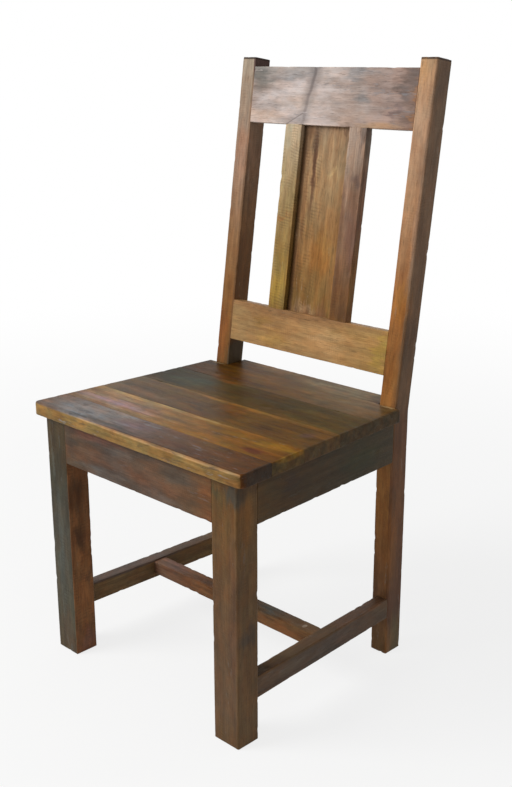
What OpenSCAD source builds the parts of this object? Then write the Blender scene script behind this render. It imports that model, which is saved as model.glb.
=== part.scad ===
// Slat-back dining chair in reclaimed wood.
// The chair faces -Y and stands on z = 0. Until the last step, y = 0 is the front legs' front face.

/* [Overall] */
// Height of the back, to the front edge of the posts' tops
overall_h = 995; // [820:1:1200]
// Height of the seat's top
seat_h = 450; // [370:1:545]
// Width over the front legs
front_w = 450; // [370:1:545]
// Width over the rear posts
back_w = 422; // [350:1:506]
// From the front legs' front face to the posts' front face
frame_d = 374; // [310:1:450]

/* [Legs and posts] */
// Front leg, left to right
leg_w = 52; // [43:1:63]
// Front leg, front to back
leg_d = 43; // [36:1:51]
// Rear post, left to right
post_w = 33; // [28:1:39]
// Rear post at the floor, front to back
post_d = 39; // [32:1:47]
// Rear post above the bend, front to back
post_top_d = 37; // [31:1:44]
// How far below the seat's top the posts bend
bend_drop = 24; // [20:1:30]
// Rake of the back from upright, in degrees
rake = 8; // [4:0.5:12]

/* [Seat] */
// Thickness of the seat boards
seat_t = 22; // [18:1:27]
// Overhang in front of the front legs
seat_front = 11; // [8:1:16]
// Overhang past the front legs at the seat's front edge
seat_side = 20; // [14:1:28]
// Overhang past the posts at the seat's ears
seat_ear = 12; // [8:1:18]
// Overhang behind the posts
seat_back = 6; // [3:1:10]
// Radius of the seat's front corners in plan
corner_r = 12; // [8:1:20]
// Radius of the front edge's top arris
nose_top_r = 6; // [4:0.5:8]
// Radius of the front edge's bottom arris
nose_low_r = 3; // [2:0.5:5]
// Width of the front board
board_1_w = 66; // [54:1:80]
// Width of the second board
board_2_w = 73; // [60:1:88]
// Width of the third board
board_3_w = 86; // [70:1:104]
// Width of the fourth board
board_4_w = 86; // [70:1:104]

/* [Aprons] */
// Height of the aprons
apron_h = 73; // [60:1:88]
// Thickness of the aprons
apron_t = 22; // [18:1:27]

/* [Stretchers] */
// Height of the side stretchers' tops
stretcher_top = 106; // [86:1:150]
// Height of a side stretcher's section
stretcher_h = 36; // [30:1:44]
// Thickness of a side stretcher
stretcher_t = 23; // [19:1:28]
// Set-in of the side stretchers from the front legs' outer faces
stretcher_inset = 2; // [0:0.5:6]
// From the front legs' front face to the cross stretcher
cross_y = 198; // [160:1:240]
// Cross stretcher, front to back
cross_w = 28; // [23:1:34]
// Height of the cross stretcher's section
cross_h = 24; // [20:1:29]
// Drop of the cross stretcher's top below the side stretchers' tops
cross_drop = 3; // [1:0.5:6]

/* [Back] */
// Thickness of both back rails
rail_t = 22; // [18:1:27]
// Height of the crest rail
crest_h = 96; // [80:1:116]
// From the posts' tops down to the crest rail
crest_drop = 16; // [10:1:26]
// Height of the lower back rail
lower_h = 73; // [60:1:88]
// From the seat's top up to the lower back rail, along the rake
lower_gap = 47; // [38:1:60]
// Width over the splat's two stiles
splat_w = 180; // [150:1:216]
// How far the splat sits to the right of the middle (it was fitted a little to the left)
splat_shift = -2; // [-4:0.5:4]
// Width of a splat stile
stile_w = 37.5; // [31:0.5:45]
// Depth of a splat stile
stile_d = 16; // [15:1:19]
// Set-back of the panel from the stiles' front faces
panel_recess = 10; // [8:0.5:12]
// Thickness of the panel
panel_t = 6; // [5:0.5:7]

/* [Joints] */
// Thickness of the mortised tenons
tenon_t = 8; // [6:0.5:10]
// Shoulder above and below an apron's or back rail's tenon
tenon_shoulder = 9; // [6:1:12]
// Shoulder above and below a stretcher's tenon
small_shoulder = 5; // [4:1:7]
// Wood left in a leg or post past the end of a tenon
end_wood = 12; // [9:1:15]
// Wood left between two tenons that meet in a leg or post
between_wood = 4; // [3:0.5:5]
// Wood left in the side stretchers past the end of the cross stretcher's tenons
cross_end_wood = 9; // [7:1:11]
// Thickness of the stiles' tenons
stile_tenon_t = 5; // [4:0.5:6]
// Length of the stiles' tenons
stile_tenon_l = 12; // [10:1:15]
// Shoulder at each edge of a stile's tenon
stile_shoulder = 6; // [5:0.5:8]
// How far the panel enters the stiles' rebates
rebate_w = 8; // [6:0.5:10]
// How far the panel enters the rails' grooves
groove_d = 8; // [6:0.5:10]
// Clearance on each cheek of a tenon, a tongue or a screw
fit = 0.1; // [0.05:0.05:0.2]
// Clearance at the end of a tenon or a screw
end_gap = 1; // [0.5:0.25:2]
// Clearance around a screw's head in its pocket
pocket_fit = 0.5; // [0.3:0.1:0.8]
// Clearance of the seat around the posts
seat_fit = 0.3; // [0.2:0.05:0.4]

/* [Corner blocks and screws] */
// How far a corner block runs along an apron past the leg
block_run = 50; // [42:1:60]
// Height of the corner blocks
block_h = 40; // [34:1:48]
// Wood left in the block under a side screw's head
block_wood = 15; // [12:1:18]
// From the leg to a side screw, along the apron
block_screw = 22; // [18:1:26]
// From the leg's inner corner to the seat screw, left to right
seat_screw_x = 7; // [6:0.5:9]
// From the leg's inner corner to the seat screw, front to back
seat_screw_y = 6; // [5:0.5:8]
// Height between the two side screws of a block
screw_step = 12; // [9:1:15]
// Diameter of the screws
screw_d = 4.2; // [3.5:0.1:5]
// Diameter of the screws' heads
head_d = 8; // [6.5:0.5:9.5]
// Height of the screws' heads
head_h = 2.6; // [2:0.1:3.2]
// How far a side screw bites into the apron
apron_bite = 15; // [11:1:17]
// How far a seat screw bites into the seat
seat_bite = 14; // [10:1:16]

/* [Hidden] */
$fn = 48;
over = 1;   // how far a cut runs past the face it opens

under = seat_h - seat_t;                    // underside of the seat, top of the legs and aprons
bend_h = seat_h - bend_drop;                // height of the bend on the posts' front faces
post_l = (overall_h - bend_h) / cos(rake);  // length of a post above the bend, along the rake
front_in = front_w / 2 - leg_w;             // inner face of a front leg
back_in = back_w / 2 - post_w;              // inner face of a post
apron_z = under - apron_h;
rear_apron_y = frame_d + post_d - apron_t;  // the rear apron is flush with the posts' backs
seat_back_y = frame_d + post_d + seat_back;
stretcher_z = stretcher_top - stretcher_h;
cross_z = stretcher_top - cross_drop - cross_h;
block_z = under - block_h;

// The side rails' tenons reach into the legs and posts as far as the end rails' tenons let them,
// and the end rails' tenons as far as the side rails' do
leg_side_tenon_l = leg_d - end_wood;
leg_front_tenon_l = leg_w - (apron_t + tenon_t) / 2 - between_wood;
post_side_tenon_l = post_d - (apron_t + tenon_t) / 2 - between_wood;
post_rail_tenon_l = post_w - end_wood;
cross_tenon_l = stretcher_t - cross_end_wood;

// The outer faces of the side rails in plan, each as [x at the leg, x at the post]
apron_line = [front_w / 2, back_w / 2];
stretcher_line = [front_w / 2 - stretcher_inset, back_w / 2];
side_run = frame_d - leg_d;

// Levels up the rake, measured from the bend
lower_s = bend_drop / cos(rake) + lower_gap;
lower_top_s = lower_s + lower_h;
crest_top_s = post_l - crest_drop;
crest_s = crest_top_s - crest_h;

// The splat, left to right
splat_l = splat_shift - splat_w / 2;
splat_r = splat_shift + splat_w / 2;
panel_l = splat_l + stile_w - rebate_w + fit;
panel_w = splat_w - 2 * (stile_w - rebate_w + fit);

// The seams between the seat boards, from the front edge to the back edge
seams = [
    -seat_front,
    board_1_w - seat_front,
    board_1_w + board_2_w - seat_front,
    board_1_w + board_2_w + board_3_w - seat_front,
    board_1_w + board_2_w + board_3_w + board_4_w - seat_front,
    seat_back_y
];

// Each corner under the seat: [the end apron's inner face, the leg's inner face,
// the leg's face towards the middle, the way to the middle along y]
front_corner = [apron_t, front_in, leg_d, 1];
rear_corner = [rear_apron_y, back_in, frame_d, -1];

// The middle of the whole chair, front to back
rearmost = frame_d + post_l * sin(rake) + post_top_d * cos(rake);
mid_y = (rearmost - seat_front) / 2;

oak = [0.42, 0.27, 0.15];
amber = [0.56, 0.38, 0.19];
walnut = [0.27, 0.17, 0.10];
slate = [0.36, 0.33, 0.30];
steel = [0.62, 0.60, 0.56];

// ---------- shared geometry ----------

// x of a side rail's outer face at y, and how much longer a slanted thickness is across x
function along(line, y) = line[0] + (line[1] - line[0]) * (y - leg_d) / side_run;
function slope(line) = (line[1] - line[0]) / side_run;
function stretch(line) = sqrt(1 + pow(slope(line), 2));
function inner_x(line, y, thick) = along(line, y) - thick * stretch(line);

// The chair's own frame, with the origin on the floor under the middle
module placed() {
    translate([0, -mid_y, 0]) children();
}

// A left-hand piece is its right-hand twin mirrored
module left() {
    mirror([1, 0, 0]) children();
}

module both_sides() {
    children();
    left() children();
}

// The raked frame of the back: z runs up the rake from the bend, y goes back from the front faces
module raked() {
    translate([0, frame_d, bend_h]) rotate([-rake, 0, 0]) children();
}

// Plan of a side rail from y0 to y1, its outer face set in from the line
module strip(line, y0, y1, inset, thick) {
    k = stretch(line);
    polygon([
        [along(line, y0) - inset * k, y0],
        [along(line, y1) - inset * k, y1],
        [along(line, y1) - (inset + thick) * k, y1],
        [along(line, y0) - (inset + thick) * k, y0]
    ]);
}

// ---------- tenons; gap is the clearance on each cheek and end the clearance at the tip ----------

module side_tenons(line, z, h, t, shoulder, gap = 0, end = 0) {
    translate([0, 0, z + shoulder - gap])
        linear_extrude(h - 2 * shoulder + 2 * gap)
            strip(line, leg_d - leg_side_tenon_l - end, frame_d + post_side_tenon_l + end,
                (t - tenon_t) / 2 - gap, tenon_t + 2 * gap);
}

// A bar of tenon right across the chair at the middle of a rail's thickness
module cross_tenons(reach, y, t, z, h, shoulder, thick, gap = 0, end = 0) {
    translate([-reach - end, y + (t - thick) / 2 - gap, z + shoulder - gap])
        cube([2 * (reach + end), thick + 2 * gap, h - 2 * shoulder + 2 * gap]);
}

module side_apron_tenons(gap = 0, end = 0) {
    side_tenons(apron_line, apron_z, apron_h, apron_t, tenon_shoulder, gap, end);
}

module side_stretcher_tenons(gap = 0, end = 0) {
    side_tenons(stretcher_line, stretcher_z, stretcher_h, stretcher_t, small_shoulder, gap, end);
}

module front_apron_tenons(gap = 0, end = 0) {
    cross_tenons(front_in + leg_front_tenon_l, 0, apron_t, apron_z, apron_h,
        tenon_shoulder, tenon_t, gap, end);
}

module rear_apron_tenons(gap = 0, end = 0) {
    cross_tenons(back_in + post_rail_tenon_l, rear_apron_y, apron_t, apron_z, apron_h,
        tenon_shoulder, tenon_t, gap, end);
}

module cross_stretcher_tenons(gap = 0, end = 0) {
    reach = inner_x(stretcher_line, cross_y + cross_w / 2, stretcher_t) + cross_tenon_l;
    cross_tenons(reach, cross_y, cross_w, cross_z, cross_h, small_shoulder, tenon_t, gap, end);
}

module crest_tenons(gap = 0, end = 0) {
    raked() cross_tenons(back_in + post_rail_tenon_l, 0, rail_t, crest_s, crest_h,
        tenon_shoulder, tenon_t, gap, end);
}

module lower_tenons(gap = 0, end = 0) {
    raked() cross_tenons(back_in + post_rail_tenon_l, 0, rail_t, lower_s, lower_h,
        tenon_shoulder, tenon_t, gap, end);
}

// A stile's tenons run through its whole height, in front of the panel
module stile_tenons(x, gap = 0, end = 0) {
    raked() translate([
        x + stile_shoulder - gap,
        (panel_recess - stile_tenon_t) / 2 - gap,
        lower_top_s - stile_tenon_l - end
    ]) cube([
        stile_w - 2 * stile_shoulder + 2 * gap,
        stile_tenon_t + 2 * gap,
        crest_s - lower_top_s + 2 * (stile_tenon_l + end)
    ]);
}

module panel_blank(gap = 0, end = 0) {
    raked() translate([panel_l - gap, panel_recess - gap, lower_top_s - groove_d - end])
        cube([
            panel_w + 2 * gap,
            panel_t + 2 * gap,
            crest_s - lower_top_s + 2 * (groove_d + end)
        ]);
}

module splat_sockets() {
    stile_tenons(splat_l, fit, end_gap);
    stile_tenons(splat_r - stile_w, fit, end_gap);
    panel_blank(fit, end_gap);
}

// ---------- screws ----------

// Shank up +z from the head's seat at z = 0, the head below it
module screw(length) {
    tip = screw_d;
    difference() {
        union() {
            translate([0, 0, -head_h]) cylinder(h = head_h, d = head_d);
            cylinder(h = length - tip, d = screw_d);
            translate([0, 0, length - tip]) cylinder(h = tip, d1 = screw_d, d2 = screw_d / 8);
        }
        for (turn = [0, 90])
            rotate([0, 0, turn]) translate([-head_d / 4, -head_d / 16, -head_h - over])
                cube([head_d / 2, head_d / 8, over + head_h / 2]);
    }
}

// The room for a screw: its hole, and the pocket in front of its head
module screw_room(length, pocket) {
    cylinder(h = length + end_gap, d = screw_d + 2 * fit);
    translate([0, 0, -pocket]) cylinder(h = pocket, d = head_d + 2 * pocket_fit);
}

// The screw into the end apron
module end_screw_place(corner) {
    translate([
        corner[1] - block_screw,
        corner[0] + corner[3] * block_wood,
        block_z + (block_h - screw_step) / 2
    ]) rotate([corner[3] * 90, 0, 0]) children();
}

// The screw square into the side apron
module side_screw_place(corner) {
    y = corner[2] + corner[3] * block_screw;
    translate([inner_x(apron_line, y, apron_t), y, block_z + (block_h + screw_step) / 2])
        rotate([0, 0, atan(-slope(apron_line))])
            translate([-block_wood, 0, 0]) rotate([0, 90, 0]) children();
}

module seat_screw_place(corner) {
    translate([corner[1] - seat_screw_x, corner[2] + corner[3] * seat_screw_y, block_z])
        children();
}

module block_screw_room(corner) {
    end_screw_place(corner) screw_room(block_wood + apron_bite, block_run);
    side_screw_place(corner) screw_room(block_wood + apron_bite, block_run);
}

module seat_screw_room() {
    both_sides()
        for (corner = [front_corner, rear_corner])
            seat_screw_place(corner) screw_room(block_h + seat_bite, head_h);
}

// ---------- legs and posts ----------

module front_leg() {
    color(walnut) difference() {
        translate([front_in, 0, 0]) cube([leg_w, leg_d, under]);
        front_apron_tenons(fit, end_gap);
        side_apron_tenons(fit, end_gap);
        side_stretcher_tenons(fit, end_gap);
    }
}

// Side view of a post: plumb to the bend, then raked and a little thinner, cut square at the top.
// grow moves the front faces forward.
module post_side(grow = 0) {
    back_bend = (post_d - post_top_d * cos(rake)) / sin(rake);
    polygon([
        [frame_d - grow, 0],
        [frame_d - grow, bend_h + grow * tan(rake / 2)],
        [frame_d + post_l * sin(rake) - grow * cos(rake), bend_h + post_l * cos(rake) + grow * sin(rake)],
        [rearmost, bend_h + post_l * cos(rake) - post_top_d * sin(rake)],
        [frame_d + post_d, bend_h + back_bend * cos(rake) - post_top_d * sin(rake)],
        [frame_d + post_d, 0]
    ]);
}

// A solid of the post's side view, from x0 to x1
module post_slab(x0, x1, grow = 0) {
    translate([x0, 0, 0]) rotate([90, 0, 90]) linear_extrude(x1 - x0) post_side(grow);
}

module rear_post() {
    color(oak) difference() {
        post_slab(back_in, back_w / 2);
        crest_tenons(fit, end_gap);
        lower_tenons(fit, end_gap);
        rear_apron_tenons(fit, end_gap);
        side_apron_tenons(fit, end_gap);
        side_stretcher_tenons(fit, end_gap);
    }
}

// ---------- rails under the seat ----------

module front_apron() {
    color(walnut) difference() {
        union() {
            translate([-front_in, 0, apron_z]) cube([2 * front_in, apron_t, apron_h]);
            front_apron_tenons();
        }
        both_sides() block_screw_room(front_corner);
    }
}

module rear_apron() {
    color(walnut) difference() {
        union() {
            translate([-back_in, rear_apron_y, apron_z]) cube([2 * back_in, apron_t, apron_h]);
            rear_apron_tenons();
        }
        both_sides() block_screw_room(rear_corner);
    }
}

module side_apron() {
    color(walnut) difference() {
        union() {
            translate([0, 0, apron_z])
                linear_extrude(apron_h) strip(apron_line, leg_d, frame_d, 0, apron_t);
            side_apron_tenons();
        }
        block_screw_room(front_corner);
        block_screw_room(rear_corner);
    }
}

module side_stretcher() {
    color(walnut) difference() {
        union() {
            translate([0, 0, stretcher_z])
                linear_extrude(stretcher_h) strip(stretcher_line, leg_d, frame_d, 0, stretcher_t);
            side_stretcher_tenons();
        }
        cross_stretcher_tenons(fit, end_gap);
    }
}

module cross_stretcher() {
    front_x = inner_x(stretcher_line, cross_y, stretcher_t);
    rear_x = inner_x(stretcher_line, cross_y + cross_w, stretcher_t);
    color(oak) union() {
        translate([0, 0, cross_z]) linear_extrude(cross_h) polygon([
            [-front_x, cross_y], [front_x, cross_y],
            [rear_x, cross_y + cross_w], [-rear_x, cross_y + cross_w]
        ]);
        cross_stretcher_tenons();
    }
}

// ---------- the back ----------

module back_rail(s, h) {
    raked() translate([-back_in, 0, s]) cube([2 * back_in, rail_t, h]);
}

module crest_rail() {
    color(oak) difference() {
        union() {
            back_rail(crest_s, crest_h);
            crest_tenons();
        }
        splat_sockets();
    }
}

module lower_back_rail() {
    color(amber) difference() {
        union() {
            back_rail(lower_s, lower_h);
            lower_tenons();
        }
        splat_sockets();
    }
}

// A stile with its left edge at x and a rebate behind for the panel
module splat_stile(x) {
    difference() {
        union() {
            raked() translate([x, 0, lower_top_s])
                cube([stile_w, stile_d, crest_s - lower_top_s]);
            stile_tenons(x);
        }
        panel_blank(fit, end_gap);
    }
}

module splat_stile_left() {
    color(amber) splat_stile(splat_l);
}

module splat_stile_right() {
    color(oak) splat_stile(splat_r - stile_w);
}

module splat_panel() {
    color(amber) panel_blank();
}

// ---------- the seat ----------

// Half width of the seat at y, from the front corners to the ears
seat_front_x = front_w / 2 + seat_side;
seat_ear_x = back_w / 2 + seat_ear;
seat_slope = (seat_front_x - seat_ear_x) / (frame_d + seat_front);
seat_reach = max(seat_front_x, seat_ear_x) + over;

function seat_x(y) = seat_front_x - seat_slope * (y + seat_front);

// Plan of the right-hand half: the front corner is an arc that meets both edges
module seat_half() {
    k = sqrt(1 + pow(seat_slope, 2));
    arc_x = seat_front_x - corner_r * (seat_slope + k);
    arc_y = corner_r - seat_front;
    polygon([
        [0, -seat_front],
        [arc_x, -seat_front],
        [arc_x, arc_y],
        [arc_x + corner_r / k, arc_y + corner_r * seat_slope / k],
        [seat_x(seat_back_y), seat_back_y],
        [0, seat_back_y]
    ]);
    translate([arc_x, arc_y]) circle(r = corner_r);
}

// Side view of the seat with its rounded front edge
module seat_side_view() {
    top = nose_top_r;
    low = nose_low_r;
    polygon([
        [top - seat_front, seat_h],
        [top - seat_front, seat_h - top],
        [-seat_front, seat_h - top],
        [-seat_front, under + low],
        [low - seat_front, under + low],
        [low - seat_front, under],
        [seat_back_y, under],
        [seat_back_y, seat_h]
    ]);
    translate([top - seat_front, seat_h - top]) circle(r = top);
    translate([low - seat_front, under + low]) circle(r = low);
}

// One board from y0 to y1; its ears stop at the posts' front faces and it fits between the posts
module seat_board(y0, y1) {
    difference() {
        intersection() {
            translate([0, 0, under]) linear_extrude(seat_t) union() {
                seat_half();
                left() seat_half();
            }
            translate([-seat_reach, y0, under]) cube([2 * seat_reach, y1 - y0, seat_t]);
        }
        both_sides() post_slab(back_in - seat_fit, seat_reach, seat_fit);
        both_sides() translate([back_in - seat_fit, frame_d + post_d - over, under - over])
            cube([seat_reach, seat_back + 2 * over, seat_t + 2 * over]);
        seat_screw_room();
    }
}

module seat_board_front() {
    color(slate) intersection() {
        seat_board(seams[0], seams[1]);
        translate([-seat_reach, 0, 0]) rotate([90, 0, 90])
            linear_extrude(2 * seat_reach) seat_side_view();
    }
}

module seat_board_second() {
    color(amber) seat_board(seams[1], seams[2]);
}

module seat_board_third() {
    color(oak) seat_board(seams[2], seams[3]);
}

module seat_board_fourth() {
    color(walnut) seat_board(seams[3], seams[4]);
}

module seat_board_rear() {
    color(slate) seat_board(seams[4], seams[5]);
}

// ---------- corner blocks and their screws ----------

module corner_block(corner) {
    far_y = corner[2] + corner[3] * block_run;
    color(amber) difference() {
        translate([0, 0, block_z]) linear_extrude(block_h) polygon([
            [corner[1] - block_run, corner[0]],
            [corner[1], corner[0]],
            [corner[1], corner[2]],
            [inner_x(apron_line, corner[2], apron_t), corner[2]],
            [inner_x(apron_line, far_y, apron_t), far_y]
        ]);
        block_screw_room(corner);
        seat_screw_place(corner) screw_room(block_h + seat_bite, head_h);
    }
}

module block_screws() {
    color(steel) both_sides()
        for (corner = [front_corner, rear_corner]) {
            end_screw_place(corner) screw(block_wood + apron_bite);
            side_screw_place(corner) screw(block_wood + apron_bite);
        }
}

module seat_screws() {
    color(steel) both_sides()
        for (corner = [front_corner, rear_corner])
            seat_screw_place(corner) screw(block_h + seat_bite);
}

// ---------- the nodes ----------

placed() left() front_leg();  // front_leg_left
placed() front_leg();  // front_leg_right
placed() left() rear_post();  // rear_post_left
placed() rear_post();  // rear_post_right
placed() front_apron();
placed() rear_apron();
placed() left() side_apron();  // side_apron_left
placed() side_apron();  // side_apron_right
placed() left() side_stretcher();  // side_stretcher_left
placed() side_stretcher();  // side_stretcher_right
placed() cross_stretcher();
placed() crest_rail();
placed() lower_back_rail();
placed() splat_stile_left();
placed() splat_stile_right();
placed() splat_panel();
placed() seat_board_front();
placed() seat_board_second();
placed() seat_board_third();
placed() seat_board_fourth();
placed() seat_board_rear();
placed() left() corner_block(front_corner);  // corner_block_front_left
placed() corner_block(front_corner);  // corner_block_front_right
placed() left() corner_block(rear_corner);  // corner_block_rear_left
placed() corner_block(rear_corner);  // corner_block_rear_right
placed() block_screws();
placed() seat_screws();
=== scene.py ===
"""The looks of a slat-back dining chair in reclaimed wood: worn timbers, patina and old paint."""
import math
import random

import bmesh
import bpy
import numpy as np
from mathutils import Matrix, Vector, noise


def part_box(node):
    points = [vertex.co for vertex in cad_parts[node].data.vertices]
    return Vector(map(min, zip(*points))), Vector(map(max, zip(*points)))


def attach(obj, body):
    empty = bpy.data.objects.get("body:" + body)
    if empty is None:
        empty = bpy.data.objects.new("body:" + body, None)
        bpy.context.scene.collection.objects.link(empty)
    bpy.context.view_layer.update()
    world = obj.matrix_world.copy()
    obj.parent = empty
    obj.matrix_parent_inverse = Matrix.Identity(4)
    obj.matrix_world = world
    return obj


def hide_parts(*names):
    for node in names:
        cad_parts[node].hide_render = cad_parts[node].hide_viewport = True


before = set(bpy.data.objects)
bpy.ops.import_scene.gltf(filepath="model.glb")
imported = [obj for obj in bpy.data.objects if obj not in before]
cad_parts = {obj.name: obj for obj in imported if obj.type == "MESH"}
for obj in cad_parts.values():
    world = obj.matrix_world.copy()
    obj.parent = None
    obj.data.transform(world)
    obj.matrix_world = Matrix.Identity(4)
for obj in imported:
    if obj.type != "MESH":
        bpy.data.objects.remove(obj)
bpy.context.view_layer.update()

MM = 0.001
X, Y, Z = Vector((1, 0, 0)), Vector((0, 1, 0)), Vector((0, 0, 1))
TENON_LEAN = 0.1  # how little a corner's place along a board counts when corners are picked

# The timbers' meshes and shapes, in mm.
STEP = 4.0  # between two rows of a mesh
LEAST_RADIUS = 0.2  # of an arris, where an end is rounded over
ARC_STEPS = 4  # mesh steps round an arris
END_STEPS = 3  # and round an end
EASE = 1.2  # from an arris to the next row, which keeps the faces flat beside it
EASED = (1.2, 1.2, 1.2, 1.2)  # radii of a timber's four arrises, if nothing else is said
SHARP = (0.3, 0.3, 0.3, 0.3)  # and of a seat board's, glued to its neighbours
SEAT_FRONT = (3.0, 0.3, 0.3, 6.0)  # and of the front board, rounded under and over its front edge
STILE = (1.2, 1.2, 0.6, 1.2)
PANEL = (0.4, 0.4, 0.4, 0.4)
FREE_ARRIS = 3.2  # the front arris of a leg or post that meets no rail
JOINT_ARRIS = 1.6  # one that rails are let in beside
FREE_END = 1.8  # rounding on an end that is seen
BUTT = 0.3  # rounding on an end that meets another timber
TUCK = 0.6  # how far such an end runs into its mortised neighbour
SEAT_FIT = 0.3  # between the seat and the posts
NOTCH_ROW = 0.3  # from the step of the rear board's notch to the rows either side of it
SEAT_CORNER = 12.0  # radius of the seat's front corners in plan
REBATE = (8.0, 10.0)  # how far in and how far back a stile is cut away for the panel
REBATE_STEP = (10.0, 10.05)  # two rows either side of the rebate's corner

# Wear, in mm.
EDGE_REACH = 9.0  # how far it fades away from an arris
EDGE_DEPTH = 0.4  # the most that an arris has worn down
WEAR_WAVES = ((110, 40), (37, 23), (13, 8))  # slow waves, soft wear and chips: along, across
CHIP_START = 0.28  # noise above this is a chip
CHIP_DEPTH = 6  # for each unit of noise above that
DENT_RADIUS = (4, 10)
DENT_DEPTH = (0.3, 0.9)
DENT_STRETCH = (1.6, 1, 1)  # a dent is longer along the grain

# The crest's crack.
CRACK = (0.345, 0.405)  # shares of the crest's length where it meets the lower and upper edge
CRACK_WANDER = ((9, 1, 0.003), (23, 0, 0.0016))  # its waves: radians, start, share of length
CRACK_DEPTH = 0.5  # mm
CRACK_REACH = 5  # mm from its middle to its rim


# ---------- where the timbers lie, read from the frame ----------

def points_of(node):
    return [v.co.copy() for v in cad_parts[node].data.vertices]


def board_rings(node, along, across, thick):
    """The corners of a board without its tenons, as a ring of four at each end."""
    points = points_of(node)
    rings = []
    for end in (-1, 1):
        ring = []
        for a, b in ((-1, -1), (1, -1), (1, 1), (-1, 1)):
            way = along * (end * TENON_LEAN) + across * a + thick * b
            ring.append(max(points, key=way.dot))
        rings.append(ring)
    return rings


def post_rings(node):
    """The corners of a bent post at the floor, the bend and the top."""
    points = points_of(node)
    x0 = min(p.x for p in points)
    x1 = max(p.x for p in points)
    front = min(p.y for p in points)
    foot_back = max(p.y for p in points if abs(p.z) < MM)
    bend_front = max(p.z for p in points if abs(p.y - front) < MM / 100)
    bend_back = max(p.z for p in points if abs(p.y - foot_back) < MM / 100)
    top_front = max(points, key=lambda p: p.z)
    top_back = max(points, key=lambda p: p.y)
    levels = (
        ((front, 0.0), (foot_back, 0.0)),
        ((front, bend_front), (foot_back, bend_back)),
        ((top_front.y, top_front.z), (top_back.y, top_back.z)),
    )
    return [
        [Vector((x0, *near)), Vector((x1, *near)), Vector((x1, *far)), Vector((x0, *far))]
        for near, far in levels
    ]


def rake_axes():
    """The way up the raked back, and the way back through its thickness."""
    rings = post_rings("rear_post_right")
    up = (rings[2][0] - rings[1][0]).normalized()
    return up, Vector((0, up.z, -up.y))


UP_RAKE, THROUGH_RAKE = rake_axes()


def stile_rings(node, inwards):
    """A stile's full outline: the rebate's missing corner is made up from the other three."""
    rings = board_rings(node, UP_RAKE, inwards, THROUGH_RAKE)
    for ring in rings:
        ring[2] = ring[1] + ring[3] - ring[0]
    return rings


class Seat:
    """The seat's outline in plan, in mm, read from its boards and the posts beside it."""

    def __init__(self):
        side = [ring[1] for ring in board_rings("seat_board_second", Y, X, Z)]
        self.slope = (side[0].x - side[1].x) / (side[1].y - side[0].y)
        self.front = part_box("seat_board_front")[0].y / MM
        self.width = side[0].x / MM + self.slope * (side[0].y / MM - self.front)
        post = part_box("rear_post_right")
        self.notch_y = post[0].y / MM - SEAT_FIT
        self.notch_x = post[0].x / MM - SEAT_FIT
        lean = math.sqrt(1 + self.slope ** 2)
        self.arc_x = self.width - SEAT_CORNER * (self.slope + lean)
        self.arc_y = self.front + SEAT_CORNER
        self.arc_end = self.arc_y + SEAT_CORNER * self.slope / lean

    def half_width(self, y):
        if y > self.notch_y:
            return self.notch_x
        if y < self.arc_end:
            drop = min(abs(self.arc_y - y), SEAT_CORNER)
            return self.arc_x + math.sqrt(SEAT_CORNER ** 2 - drop ** 2)
        return self.width - self.slope * (y - self.front)


SEAT = Seat()


# ---------- worn timbers ----------

class Timber:
    """A board's shape: place(s, a, b) gives the point s along, a across and b through it, in mm."""

    def __init__(self, rings):
        self.rings = rings
        middles = [sum(ring, Vector()) / 4 for ring in rings]
        self.spans = [(q - p).length / MM for p, q in zip(middles, middles[1:])]
        self.length = sum(self.spans)
        self.width = (rings[0][1] - rings[0][0]).length / MM
        self.depth = (rings[0][3] - rings[0][0]).length / MM

    def place(self, s, a, b):
        k = 0
        while k < len(self.spans) - 1 and s > self.spans[k]:
            s -= self.spans[k]
            k += 1
        t = s / self.spans[k]
        u, v = a / self.width, b / self.depth
        corners = [p.lerp(q, t) for p, q in zip(self.rings[k], self.rings[k + 1])]
        return corners[0].lerp(corners[1], u).lerp(corners[3].lerp(corners[2], u), v)


class SeatBoard:
    """A seat board's shape: it runs left to right between the seat's two side edges."""

    def __init__(self, node):
        low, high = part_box(node)
        self.y0 = low.y / MM
        self.z0 = low.z / MM
        self.width = (high.y - low.y) / MM
        self.depth = (high.z - low.z) / MM
        self.length = (high.x - low.x) / MM

    def place(self, s, a, b):
        y = self.y0 + a
        x = (2 * s / self.length - 1) * SEAT.half_width(y)
        return Vector((x, y, self.z0 + b)) * MM


def rows(low, high, cuts=()):
    """Places strictly between low and high: even steps, a row beside each end, and any cuts."""
    count = max(1, round((high - low) / STEP))
    inner = {low + (high - low) * k / count for k in range(1, count)}
    inner = {p for p in inner if low + 2 * EASE < p < high - 2 * EASE}
    if high - low > 3 * EASE:
        inner |= {low + EASE, high - EASE}
    inner = {p for p in inner if all(abs(p - cut) > EASE for cut in cuts)}
    return sorted(inner | set(cuts))


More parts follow.
